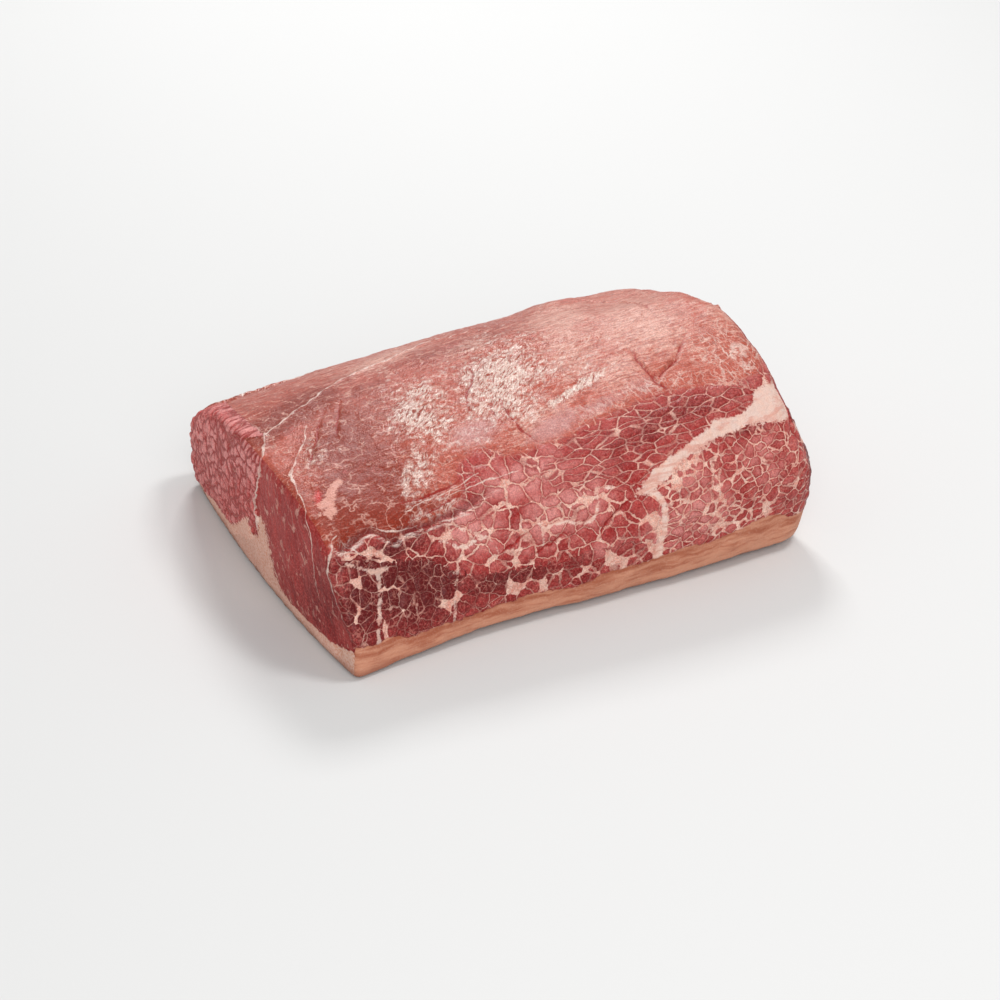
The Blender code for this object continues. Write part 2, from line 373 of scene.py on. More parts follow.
class Shell:
    """The shell's vertices, and for each the place on the camera's side that its looks come from."""

    def __init__(self, mesh):
        self.mesh = mesh
        count = len(mesh.vertices)
        self.places = np.empty(count * 3, np.float32)
        mesh.vertices.foreach_get("co", self.places)
        self.places = self.places.reshape(-1, 3).astype(float)
        self.normals = np.empty(count * 3, np.float32)
        mesh.vertices.foreach_get("normal", self.normals)
        self.normals = self.normals.reshape(-1, 3).astype(float)
        polygons = [tuple(face.vertices) for face in mesh.polygons]
        self.tree = BVHTree.FromPolygons([tuple(place) for place in self.places], polygons)
        self.low, self.high = self.places.min(axis=0), self.places.max(axis=0)
        self.find_twins()

    def cast(self, pixel):
        """The place on the shell that shows at a pixel, or the nearest to its ray beside the roast."""
        ray = ray_through(pixel)
        hit = self.tree.ray_cast(Vector(CAMERA_PLACE), ray)[0]
        if hit is not None:
            return np.array(hit)
        near = Vector(CAMERA_PLACE) + ray * float(np.linalg.norm(CAMERA_PLACE))
        return np.array(self.tree.find_nearest(near)[0])

    def find_twins(self):
        """Gives every vertex the place, and the normal there, that its fields are measured at."""
        sight = CAMERA_PLACE - self.places
        sight /= np.linalg.norm(sight, axis=1)[:, None]
        self.facing = np.einsum("ij,ij->i", self.normals, sight)
        self.end = np.abs(self.normals[:, 0])
        right_end = self.normals[:, 0] > RIM_TURN
        self.turned = (self.facing < 0.0) & (self.normals[:, 1] > 0)
        turned_away = (self.facing < 0.0) & ~right_end & (self.normals[:, 2] > DOWNWARDS)
        self.twins, self.twin_normals = self.places.copy(), self.normals.copy()
        share = (self.places[:, 0] - self.low[0]) / (self.high[0] - self.low[0])
        ridge, front_side, back_side = [start + slope * share for start, slope in LENGTHWISE]
        front = ridge - front_side
        back = back_side - ridge
        mirrored = self.places.copy()
        mirrored[:, 1] = ridge - (self.places[:, 1] - ridge) * front / back
        swapped = self.places.copy()
        swapped[:, 0] = self.low[0]
        middle = 0.5 * (self.low[1] + self.high[1])
        swapped[:, 1] = middle + (self.places[:, 1] + RIGHT_END_SHIFT) * LEFT_END_WIDER
        swapped[:, 2] = self.places[:, 2] * LEFT_END_LOWER
        for mask, guess in ((turned_away, mirrored), (right_end, swapped)):
            for i in np.nonzero(mask)[0]:
                place, normal, *_ = self.tree.find_nearest(Vector(guess[i]))
                self.twins[i] = place
                self.twin_normals[i] = normal
        self.pixels = to_pixels(self.twins)

    def keep(self, name, values):
        """Stores a field on the vertices, as a number or as a vector."""
        kind = "FLOAT" if values.ndim == 1 else "FLOAT_VECTOR"
        field = self.mesh.attributes.new(name, kind, "POINT")
        field.data.foreach_set("value" if kind == "FLOAT" else "vector", values.astype(np.float32).ravel())


def smooth_curve(points, step):
    """A Catmull-Rom curve through the points, with their sizes, sampled about every step pixels."""
    knots = np.array(points, float)
    knots = np.vstack([2 * knots[0] - knots[1], knots, 2 * knots[-1] - knots[-2]])
    curve = []
    for before, start, stop, after in zip(knots[:-3], knots[1:-2], knots[2:-1], knots[3:]):
        count = max(int(np.linalg.norm((stop - start)[:2]) / step), 1)
        for t in np.arange(count) / count:
            curve.append(
                0.5 * (2 * start + (stop - before) * t
                       + (2 * before - 5 * start + 4 * stop - after) * t**2
                       + (3 * start - before - 3 * stop + after) * t**3)
            )
    return np.array(curve + [knots[-2]])


def outline_distance(pixels, outline):
    """Signed distance in pixels from a closed outline, positive inside it."""
    corners = np.array(outline, float)
    nearest = np.full(len(pixels), np.inf)
    inside = np.zeros(len(pixels), bool)
    for a, b in zip(corners, np.roll(corners, -1, axis=0)):
        along = b - a
        t = np.clip((pixels - a) @ along / (along @ along), 0, 1)
        nearest = np.minimum(nearest, np.linalg.norm(pixels - a - t[:, None] * along, axis=1))
        crosses = (a[1] > pixels[:, 1]) != (b[1] > pixels[:, 1])
        with np.errstate(divide="ignore", invalid="ignore"):
            where = a[0] + (pixels[:, 1] - a[1]) * along[0] / along[1]
        inside ^= crosses & (pixels[:, 0] < where)
    return np.where(inside, nearest, -nearest)


def line_field(shell, line):
    """For every vertex: its distance from the line, signed across it, past its ends, and its size."""
    curve = smooth_curve(line, LINE_STEP)
    jitter = np.random.default_rng(len(line)).normal(0, LINE_JITTER, (len(curve), 2))
    knots = np.array([shell.cast(point[:2] + shake) for point, shake in zip(curve, jitter)])
    sizes = curve[:, 2]
    count = len(shell.twins)
    best = np.full(count, np.inf)
    side, over, size = np.zeros(count), np.zeros(count), np.zeros(count)
    last = len(knots) - 2
    near = np.nonzero(
        np.all(shell.twins > knots.min(axis=0) - LINE_REACH, axis=1)
        & np.all(shell.twins < knots.max(axis=0) + LINE_REACH, axis=1)
    )[0]
    twins, normals = shell.twins[near], shell.twin_normals[near]
    for i, (a, b) in enumerate(zip(knots[:-1], knots[1:])):
        along = b - a
        length = max(np.linalg.norm(along), 1e-9)
        t = (twins - a) @ along / length**2
        held = np.clip(t, 0, 1)
        away = twins - a - held[:, None] * along
        distance = np.linalg.norm(away, axis=1)
        closer = distance < best[near]
        sign = np.sign(np.einsum("ij,ij->i", np.cross(along, normals), away))
        past = np.zeros(len(near))
        if i == 0:
            past = np.maximum(past, -t * length)
        if i == last:
            past = np.maximum(past, (t - 1) * length)
        lateral = np.sqrt(np.maximum(distance**2 - past**2, 0)) * sign
        hit = near[closer]
        best[hit] = distance[closer]
        side[hit] = lateral[closer]
        over[hit] = past[closer]
        size[hit] = (sizes[i] + held * (sizes[i + 1] - sizes[i]))[closer]
    return best / MM, side / MM, over / MM, size


def nearest_lines(shell, lines, reach=REACH):
    """One vector field for several thin lines: distance across, past the end, and size."""
    field = np.zeros((len(shell.twins), 3))
    field[:, 1] = reach
    nearest = np.full(len(shell.twins), reach)
    for line in lines.values():
        distance, side, over, size = line_field(shell, line)
        closer = distance < nearest
        field[closer] = np.stack([side, over, size], axis=1)[closer]
        nearest = np.minimum(nearest, distance)
    return field


def fat_shapes(shell):
    """Signed distance in millimetres into the named lines of fat, the wedge, the seam and the pocket."""
    depth = np.full(len(shell.twins), -FAR_FROM_FAT)
    for line in FAT_LINES.values():
        distance, _, _, width = line_field(shell, line)
        depth = np.maximum(depth, width / 2 - distance)
    for outline in (WEDGE, SEAM, POCKET):
        depth = np.maximum(depth, outline_distance(shell.pixels, outline) / PIXELS_A_MM)
    return np.clip(depth, -FAR_FROM_FAT, FAR_FROM_FAT)


def cap_depth(shell):
    """How far below the upper edge of the fat cap each vertex is, in millimetres."""
    front = np.array([shell.cast(pixel) for pixel in CAP_FRONT])
    left = np.array([shell.cast(pixel) for pixel in CAP_END])
    by_front = np.interp(shell.twins[:, 0], front[:, 0], front[:, 2])
    order = np.argsort(left[:, 1])
    by_end = np.interp(shell.twins[:, 1], left[order, 1], left[order, 2])
    on_end = smoothstep(-2.0, 2.0, outline_distance(shell.pixels, END))
    edge = by_front + (by_end - by_front) * on_end
    depth = (edge - shell.twins[:, 2]) / MM
    under = smoothstep(0.3, 0.7, -shell.normals[:, 2])
    return np.clip(depth + under * UNDERSIDE, -FAR_FROM_FAT, UNDERSIDE)


def spots(shell, name):
    """The strength of a tint at every vertex, from its soft spots."""
    strength = np.zeros(len(shell.pixels))
    for x, y, wide, high, turn, most in SPOTS[name]:
        angle = math.radians(turn)
        away = shell.pixels - (x, y)
        across = (away[:, 0] * math.cos(angle) + away[:, 1] * math.sin(angle)) / wide
        up = (-away[:, 0] * math.sin(angle) + away[:, 1] * math.cos(angle)) / high
        strength = np.maximum(strength, most * np.exp(-(across**2 + up**2)))
    return strength


def region_depth(shell, outline):
    """Signed distance in millimetres into a region, from its outline in the picture."""
    depth = outline_distance(shell.pixels, outline) / PIXELS_A_MM
    return np.clip(depth, -FAR_FROM_EDGE, FAR_FROM_EDGE)


def add_fields(shell):
    """Keeps every field on the shell's mesh."""
    shell.keep("place", shell.places / MM)
    end = region_depth(shell, END)
    near = smoothstep(*BEND_ROWS, shell.pixels[:, 1])
    rim = (shell.end - RIM_TURN) * FAR_FROM_EDGE
    shell.keep("end", np.where(near > 0.5, np.minimum(end, rim), end))
    for name, outline in (
        ("far", FAR_MUSCLE), ("block", BLOCK), ("lobe", LOBE), ("strip", STRIP),
    ):
        shell.keep(name, region_depth(shell, outline))
    skirt = (SKIRT_TOP - shell.places[:, 2] / MM) / SKIRT_SLOPE
    cut = region_depth(shell, CUT)
    cut[shell.turned] = np.minimum(cut, np.clip(skirt, -FAR_FROM_EDGE, FAR_FROM_EDGE))[shell.turned]
    shell.keep("cut", cut)
    shell.keep("fat", fat_shapes(shell))
    shell.keep("cap", cap_depth(shell))
    # The veins' field carries the painted glint lines too
    shell.keep("veins", nearest_lines(shell, VEINS_AND_GLINTS))
    shell.keep("gashes", nearest_lines(shell, GASHES))
    shell.keep("ledge", nearest_lines(shell, {"ledge": LEDGE}, LEDGE_REACH))
    for name in SPOTS:
        shell.keep(name, spots(shell, name))


# ---------------------------------------------------------------- node graphs


class Graph:
    """Adds nodes to a shader or a geometry tree. Both kinds hold the same textures and maths."""

    def __init__(self, tree):
        self.tree = tree
        self.shading = tree.bl_idname == "ShaderNodeTree"

    def add(self, kind, inputs=None, **settings):
        """A node with its settings and its inputs, by name or index."""
        node = self.tree.nodes.new(kind)
        for key, value in settings.items():
            setattr(node, key, value)
        for key, value in (inputs or {}).items():
            self.put(value, node.inputs[key])
        return node

    def put(self, value, socket):
        """Links or sets an input."""
        if isinstance(value, bpy.types.NodeSocket):
            self.tree.links.new(value, socket)
        else:
            socket.default_value = value

    def math(self, operation, a, b=0.0, c=0.0, clamp=False):
        node = self.add("ShaderNodeMath", {0: a, 1: b, 2: c}, operation=operation, use_clamp=clamp)
        return node.outputs[0]

    def plus(self, *terms):
        total = terms[0]
        for term in terms[1:]:
            total = self.math("ADD", total, term)
        return total

    def times(self, *factors):
        product = factors[0]
        for factor in factors[1:]:
            product = self.math("MULTIPLY", product, factor)
        return product

    def minus(self, a, b):
        return self.math("SUBTRACT", a, b)

    def rest_of(self, a):
        return self.math("SUBTRACT", 1.0, a)

    def vector(self, operation, a, b=None):
        node = self.add("ShaderNodeVectorMath", {0: a}, operation=operation)
        if b is not None:
            self.put(b, node.inputs[3 if operation == "SCALE" else 1])
        return node.outputs["Value" if operation in ("LENGTH", "DOT_PRODUCT") else 0]

    def step(self, value, low, high):
        """0 below low, 1 above high, and smooth between them. High may be under low."""
        node = self.add(
            "ShaderNodeMapRange", {"Value": value, "From Min": low, "From Max": high},
            interpolation_type="SMOOTHSTEP",
        )
        return node.outputs[0]

    def ramp(self, value, low, high, to_low, to_high):
        node = self.add(
            "ShaderNodeMapRange",
            {"Value": value, "From Min": low, "From Max": high, "To Min": to_low, "To Max": to_high},
        )
        return node.outputs[0]

    def mix(self, share, a, b, kind="FLOAT"):
        first = {"FLOAT": 2, "VECTOR": 4, "RGBA": 6}[kind]
        node = self.add("ShaderNodeMix", {0: share, first: a, first + 1: b}, data_type=kind)
        return node.outputs[{"FLOAT": 0, "VECTOR": 1, "RGBA": 2}[kind]]

    def field(self, name, vector=False):
        """A field that is kept on the mesh."""
        if self.shading:
            node = self.add("ShaderNodeAttribute", attribute_name=name)
            return node.outputs["Vector" if vector else "Fac"]
        kind = "FLOAT_VECTOR" if vector else "FLOAT"
        node = self.add("GeometryNodeInputNamedAttribute", {"Name": name}, data_type=kind)
        return node.outputs[0]

    def parts(self, vector):
        return self.add("ShaderNodeSeparateXYZ", {0: vector}).outputs

    def noise(self, place, size, detail=2.0, rough=0.5, colour=False):
        """Noise from 0 to 1, with features of this size in the units of place."""
        node = self.add(
            "ShaderNodeTexNoise",
            {"Vector": place, "Scale": 1 / size, "Detail": detail, "Roughness": rough},
        )
        return node.outputs[1 if colour else 0]

    def cells(self, place, feature):
        return self.add(
            "ShaderNodeTexVoronoi", {"Vector": place, "Scale": 1.0}, feature=feature
        ).outputs

    def stretched(self, place, sizes, turn=(0.0, 0.0, 0.0)):
        """place turned by these degrees and divided by these sizes."""
        turned = self.add(
            "ShaderNodeVectorRotate",
            {"Vector": place, "Rotation": [math.radians(t) for t in turn]},
            rotation_type="EULER_XYZ",
        ).outputs[0]
        return self.vector("MULTIPLY", turned, [1 / size for size in sizes])


# Sizes of the grain's bundles in millimetres, along each axis once turned, and the turn in degrees
GRAINS = {
    "front": ((6.4, 16.0, 5.2), (0, 0, 0)),
    "block": ((5.2, 16.0, 4.8), (0, 0, 0)),
    "lobe": ((5.0, 10.0, 3.2), (0, 14, 0)),
    "strip": ((8.0, 3.2, 12.0), (-55, 0, 0)),
    "near": ((14.0, 3.0, 7.5), (18, 0, 0)),
    "far": ((12.0, 4.4, 4.4), (-6, 0, 0)),
}
# A typical width of a bundle, in millimetres
BUNDLES = {"front": 5.4, "block": 4.8, "lobe": 3.6, "strip": 3.9, "near": 3.0, "far": 4.2}


def centred(g, place, size, detail=2.0):
    """Noise from about -0.5 to 0.5."""
    return g.minus(g.noise(place, size, detail), 0.5)


def shaken(g, place, size, amount):
    """place shifted by noise of this size, by up to half of amount each way."""
    shift = g.vector("SUBTRACT", g.noise(place, size, 2.0, colour=True), (0.5, 0.5, 0.5))
    return g.vector("ADD", place, g.vector("SCALE", shift, amount))


def meat_fields(g):
    """The grain's bundles and the regions of the surface, as sockets of the graph."""
    f = {"place": g.field("place", vector=True)}
    place = f["place"]
    f["bent"] = shaken(g, place, 9.0, 3.6)
    f["crooked"] = shaken(g, f["bent"], 2.6, 2.0)
    f["ragged"] = centred(g, place, 2.4, 3.0)
    f["broad"] = centred(g, place, 14.0)
    f["fine"] = g.noise(place, 0.8, 2.0)

    end = g.plus(g.field("end"), g.times(f["ragged"], 1.5))
    f["is_end"] = g.math("GREATER_THAN", end, 0.0)
    side = g.rest_of(f["is_end"])
    far = g.plus(g.field("far"), g.times(f["ragged"], 2.0))
    f["is_far"] = g.times(f["is_end"], g.math("GREATER_THAN", far, 0.0))
    f["is_lobe"] = g.times(side, g.math("GREATER_THAN", g.field("lobe"), 0.0))
    strip = g.plus(g.field("strip"), g.times(f["ragged"], 2.0))
    f["is_strip"] = g.times(side, g.math("GREATER_THAN", strip, 0.0))
    block = g.plus(g.field("block"), g.times(f["ragged"], 4.0))
    f["is_block"] = g.times(side, g.math("GREATER_THAN", block, 0.0), g.rest_of(f["is_lobe"]))
    f["in_cut"] = g.plus(g.field("cut"), g.times(f["ragged"], 3.0), g.times(f["broad"], 4.0))
    f["covered"] = g.times(g.step(f["in_cut"], 1.0, -1.4), side)

    grain = g.stretched(f["crooked"], *GRAINS["front"])
    size = BUNDLES["front"]
    for region, name, lay in (
        ("is_block", "block", "crooked"), ("is_strip", "strip", "bent"), ("is_lobe", "lobe", "crooked"),
        ("is_end", "near", "crooked"), ("is_far", "far", "crooked"),
    ):
        grain = g.mix(f[region], grain, g.stretched(f[lay], *GRAINS[name]), "VECTOR")
        size = g.mix(f[region], size, BUNDLES[name])
    f["grain"], f["size"] = grain, size
    f["edge"] = g.times(g.cells(grain, "DISTANCE_TO_EDGE")["Distance"], size)
    first = g.cells(grain, "F1")
    f["middle"] = first["Distance"]
    f["tone"] = g.parts(first["Color"])[0]
    smaller = shaken(g, g.vector("SCALE", grain, 2.6), 1.0, 0.7)
    f["small_edge"] = g.times(g.cells(smaller, "DISTANCE_TO_EDGE")["Distance"], g.times(size, 0.38))
    f["thick"] = g.step(g.noise(place, 4.0, 2.0), 0.40, 0.74)
    f["clear"] = g.step(g.noise(place, 6.0, 3.0), 0.36, 0.60)
    return f


def fat_share(g, f):
    """0 in lean meat, 1 in fat: the cap, the named shapes, and the network round the bundles."""
    cap = g.plus(g.field("cap"), g.times(f["ragged"], 2.6), g.times(f["broad"], 1.5))
    shape = g.plus(g.field("fat"), g.times(f["ragged"], 2.6), g.times(g.minus(f["fine"], 0.5), 1.4))
    thick, fatty = f["thick"], g.field("fatty")
    width = g.plus(g.ramp(thick, 0.0, 1.0, 0.10, 0.26), g.times(fatty, 0.40))
    width = g.mix(f["is_block"], width, g.plus(g.ramp(thick, 0.0, 1.0, 0.04, 0.14), g.times(fatty, 0.45)))
    width = g.mix(f["is_strip"], width, g.plus(g.ramp(thick, 0.0, 1.0, 0.09, 0.15), g.times(fatty, 0.2)))
    width = g.mix(f["is_lobe"], width, g.plus(g.ramp(thick, 0.0, 1.0, 0.08, 0.26), g.times(fatty, 0.34)))
    width = g.mix(f["is_end"], width, g.ramp(thick, 0.25, 1.0, -0.14, 0.36))
    width = g.mix(f["is_far"], width, 0.0)
    corner = g.plus(0.80, g.times(fatty, -0.34), g.times(f["ragged"], 0.35))
    corner = g.mix(f["is_strip"], corner, g.plus(corner, 0.10))
    corner = g.mix(f["is_end"], corner, 2.0)
    corner = g.times(g.minus(f["middle"], corner), f["size"])
    lines = g.minus(width, f["edge"])
    faint = g.minus(g.ramp(thick, 0.0, 1.0, -0.04, 0.10), f["small_edge"])
    return {
        "cap": g.step(cap, -0.3, 0.3),
        "shape": g.step(shape, -0.3, 0.4),
        "lines": g.times(g.step(lines, -0.14, 0.05), g.ramp(f["clear"], 0.0, 1.0, 0.30, 1.0)),
        "corners": g.step(corner, -0.10, 0.25),
        "faint": g.step(faint, -0.14, 0.06),
    }


# ---------------------------------------------------------------- relief


def line_distance(g, name):
    """How far a place is from the nearest line of a field, and the line's size there."""
    lines = g.field(name, vector=True)
    across, past, size = g.parts(lines)
    flat = g.add("ShaderNodeCombineXYZ", {0: across, 1: past}).outputs[0]
    return g.vector("LENGTH", flat), size


def ledge_sides(g):
    """How much the membrane stands up above the ledge's line, and the grain is sunk below it."""
    across, past, size = g.parts(g.field("ledge", vector=True))
    end = g.times(g.step(past, 3.0, 0.0), size)
    raised = g.times(g.step(across, -0.4, 0.8), g.step(across, LEDGE_REACH, 1.0), end)
    sunk = g.times(g.step(across, 0.8, -0.4), g.step(across, -LEDGE_REACH, -1.0), end)
    return raised, sunk


def relief_height(g):
    """How far the surface stands out of the shell, in millimetres."""
    f = meat_fields(g)
    fat = fat_share(g, f)
    lumps = g.plus(
        g.times(centred(g, f["place"], 26.0, 1.0), 2.2),
        g.times(centred(g, f["place"], 8.0), 1.0),
        g.times(centred(g, f["place"], 2.8, 1.0), 0.5),
    )
    crumple = g.math("ABSOLUTE", centred(g, g.stretched(f["bent"], (8.0, 3.0, 4.0), (0, 0, -42)), 1.0))
    crumple = g.times(crumple, g.field("wet"), f["covered"], -3.0)
    open_meat = g.times(g.rest_of(f["covered"]), g.rest_of(fat["cap"]), g.rest_of(fat["shape"]))
    bulge = g.mix(f["is_end"], 0.45, 0.1)
    bulge = g.mix(f["is_far"], bulge, 0.8)
    bulge = g.times(g.step(f["edge"], 0.0, 1.5), bulge, open_meat)
    distance, depth = line_distance(g, "gashes")
    groove = g.times(depth, g.step(distance, 1.1, 0.0), -0.9)
    distance, width = line_distance(g, "veins")
    ridge = g.times(g.step(distance, 1.2, 0.2), width, 0.5)
    raised, sunk = ledge_sides(g)
    return g.plus(lumps, crumple, bulge, groove, ridge, g.times(raised, 0.55), g.times(sunk, -0.45))


def add_relief(mesh):
    """The mesh with every vertex moved along its normal by the relief, clear of the floor."""
    body = bpy.data.objects.new("beef", mesh)
    bpy.context.scene.collection.objects.link(body)
    tree = bpy.data.node_groups.new("relief", "GeometryNodeTree")
    tree.interface.new_socket("Geometry", in_out="INPUT", socket_type="NodeSocketGeometry")
    tree.interface.new_socket("Geometry", in_out="OUTPUT", socket_type="NodeSocketGeometry")
    g = Graph(tree)
    given = g.add("NodeGroupInput").outputs[0]
    normal = g.add("GeometryNodeInputNormal").outputs[0]
    height = g.parts(g.add("GeometryNodeInputPosition").outputs[0])[2]
    clear = g.step(height, 0.0, 3.0 * MM)
    push = g.vector("SCALE", normal, g.times(relief_height(g), clear, MM))
    moved = g.add("GeometryNodeSetPosition", {"Geometry": given, "Offset": push}).outputs[0]
    g.add("NodeGroupOutput", {0: moved})
    body.modifiers.new("relief", "NODES").node_group = tree
    return applied(body)


# ---------------------------------------------------------------- material


def srgb(red, green, blue, shade=1.0):
    """A colour as it should look under the studio's light, from its eight-bit display values."""
    linear = []
    for value in (red, green, blue):
        value = value / 255
        value = value / 12.92 if value < 0.04045 else ((value + 0.055) / 1.055) ** 2.4
        linear.append(value * shade)
    return (*linear, 1.0)


# How bright a colour is made on the sides and on the top, so that the lit surface shows it
SIDE_LIT = 0.90
TOP_LIT = 0.84
# Dark lean meat, and also the painted shade under the ledge
LEAN_DARK_AND_SHADE = srgb(92, 10, 12, SIDE_LIT)
LEAN = srgb(148, 34, 32, SIDE_LIT)
LEAN_LIGHT = srgb(176, 70, 66, SIDE_LIT)
LEAN_PINK = srgb(206, 132, 126, SIDE_LIT)
FAR_PINK = srgb(212, 136, 132, SIDE_LIT)
BROWN = srgb(140, 44, 24, TOP_LIT)
ROSE = srgb(186, 88, 70, TOP_LIT)
VEIL = srgb(222, 168, 152, TOP_LIT)
MAUVE = srgb(196, 134, 128, TOP_LIT)
# Near white: painted highlights on the wet wrinkles and the ledge's edge, and the pale fat lines seen
# through the membrane
SHEEN_AND_PALE_FAT = srgb(246, 226, 214, TOP_LIT)
RED = srgb(196, 50, 44, TOP_LIT)
FAT_CREAM = srgb(232, 190, 172, SIDE_LIT)
FAT_PINK = srgb(212, 144, 128, SIDE_LIT)
# White fat, also used for painted highlights on fat lines and for the glint lines
FAT_WHITE_AND_GLINT = srgb(228, 200, 188, SIDE_LIT)
CAP = srgb(166, 92, 66, SIDE_LIT)
CAP_PALE = srgb(206, 144, 116, SIDE_LIT)
# Painted contact shadow along the bottom of the cap
CAP_FOOT_SHADE = srgb(140, 74, 54, SIDE_LIT)
END_FAT = srgb(218, 154, 128, SIDE_LIT)
# The red of the flesh in a gash, with painted shade in its groove
GASH_RED_AND_SHADE = srgb(150, 20, 16, SIDE_LIT)

# Roughness of moist meat, soaked membrane, and of the cap and the ends
MOIST, SOAKED, DULL = 0.40, 0.20, 0.55
SPECULAR = 0.20
FINE_STRENGTH = 0.7


def lean_colour(g, f):
    """Lean meat: every bundle has its own shade, finely speckled, and is darker at its rim."""
    tone = g.plus(g.times(g.minus(f["tone"], 0.5), 0.5), g.times(f["broad"], 0.8))
    light = g.step(g.plus(tone, g.times(g.minus(f["fine"], 0.5), 1.4)), -0.5, 0.6)
    colour = g.mix(light, LEAN, LEAN_LIGHT, "RGBA")
    # The dark spots: darker lean meat, and painted shade under the ledge
    dark = g.plus(g.field("dark"), g.times(tone, -0.3), g.times(g.minus(f["fine"], 0.5), -0.8),
                  g.times(f["is_block"], 0.3))
    colour = g.mix(g.step(dark, 0.0, 1.0), colour, LEAN_DARK_AND_SHADE, "RGBA")
    rim = g.times(g.step(f["edge"], 0.75, 0.2), g.rest_of(f["is_end"]), 0.28)
    colour = g.mix(rim, colour, LEAN_DARK_AND_SHADE, "RGBA")
    core = g.step(f["edge"], 0.15, 1.0)
    pink = g.plus(g.field("pink"), g.times(tone, 0.5), g.times(f["ragged"], 0.7))
    pink = g.times(g.step(pink, 0.1, 0.9), g.ramp(core, 0.0, 1.0, 0.15, 0.95))
    colour = g.mix(pink, colour, LEAN_PINK, "RGBA")
    speck = g.times(g.step(f["fine"], 0.52, 0.75), 0.16)
    return g.mix(speck, colour, LEAN_PINK, "RGBA")


def far_colour(g, f, colour):
    """The far muscle: pink bundles with deep red between them, partly their own red and partly painted
    shade in the grooves between the bulging bundles.
    """
    core = g.step(f["edge"], 0.05, 0.9)
    light = g.plus(g.times(g.field("pink"), 1.4), g.times(g.minus(f["tone"], 0.5), 0.6),
                   g.times(g.minus(f["fine"], 0.5), 1.6))
    bundle = g.mix(g.step(light, -0.5, 0.6), LEAN_LIGHT, FAR_PINK, "RGBA")
    return g.mix(f["is_far"], colour, g.mix(core, LEAN, bundle, "RGBA"), "RGBA")


def membrane_colour(g, f, fibres, wrinkles, net):
    """The skin of the top: brown and rose with pale streaks, with painted highlights on the crests of its
    wet wrinkles and painted shade in the hollows between them.
    """
    streaks = g.minus(fibres, 0.5)
    brown = g.plus(g.field("brown"), g.times(streaks, -1.4), g.times(f["broad"], 0.7))
    colour = g.mix(g.step(brown, 0.0, 0.9), ROSE, BROWN, "RGBA")
    veil = g.plus(g.field("veil"), g.times(streaks, 2.0), g.times(f["ragged"], 0.7))
    colour = g.mix(g.step(veil, 0.1, 1.2), colour, VEIL, "RGBA")
    colour = g.mix(g.times(g.step(fibres, 0.56, 0.70), 0.40), colour, VEIL, "RGBA")
    folds = g.math("ABSOLUTE", centred(g, f["bent"], 8.0, 3.0))
    some = g.step(f["clear"], 0.1, 0.7)
    colour = g.mix(g.times(g.step(folds, 0.03, 0.0), some, 0.65), colour, VEIL, "RGBA")
    slits = g.stretched(g.vector("ADD", f["bent"], (37.0, 11.0, 5.0)), (11.0, 4.0, 6.0), (0, 0, 12))
    slits = g.math("ABSOLUTE", centred(g, slits, 1.0, 3.0))
    colour = g.mix(g.times(g.step(slits, 0.04, 0.0), 0.45), colour, BROWN, "RGBA")
    mauve = g.step(g.plus(g.field("mauve"), g.times(f["ragged"], 0.8)), 0.2, 0.9)
    colour = g.mix(g.times(mauve, 0.9), colour, MAUVE, "RGBA")
    colour = g.mix(g.step(g.plus(g.field("red"), f["ragged"]), 0.25, 0.9), colour, RED, "RGBA")
    speck = g.times(g.step(f["fine"], 0.5, 0.8), 0.16)
    colour = g.mix(speck, colour, VEIL, "RGBA")
    colour = g.mix(g.times(net, g.field("net"), 0.55), colour, SHEEN_AND_PALE_FAT, "RGBA")
    soaked = g.plus(g.field("wet"), g.times(f["ragged"], 1.6), g.times(f["broad"], 1.2))
    soaked = g.step(soaked, 0.35, 1.0)
    # Painted highlights on the crests of the wet wrinkles, with painted brown shade in the hollows between
    # them
    glare = g.times(g.step(wrinkles, 0.22, 0.04), soaked, 0.55)
    colour = g.mix(glare, colour, SHEEN_AND_PALE_FAT, "RGBA")
    valley_shade = g.times(g.step(wrinkles, 0.10, 0.24), soaked, 0.7)
    colour = g.mix(valley_shade, colour, BROWN, "RGBA")
    crease = g.times(g.step(wrinkles, 0.05, 0.01), g.step(f["fine"], 0.38, 0.52))
    return g.mix(g.times(crease, soaked), colour, SHEEN_AND_PALE_FAT, "RGBA")


def network_over(g, f, fat, colour):
    """Lean meat with the network of fat between its bundles, the fat flecked with painted highlights."""
    network = g.mix(g.step(f["mottle"], 0.3, 0.7), FAT_CREAM, FAT_PINK, "RGBA")
    # Painted highlight: random bright specks on the lines of fat
    bright = g.times(g.step(f["fine"], 0.5, 0.66), 0.5)
    network = g.mix(bright, network, FAT_WHITE_AND_GLINT, "RGBA")
    strength = g.mix(f["is_block"], 0.95, 0.45)
    strength = g.mix(f["is_strip"], strength, 0.8)
    strength = g.mix(f["is_end"], strength, 0.55)
    colour = g.mix(g.times(fat["faint"], g.rest_of(f["is_end"]), 0.3), colour, FAT_PINK, "RGBA")
    colour = g.mix(g.times(fat["lines"], strength), colour, network, "RGBA")
    return g.mix(g.times(fat["corners"], 0.85), colour, network, "RGBA")


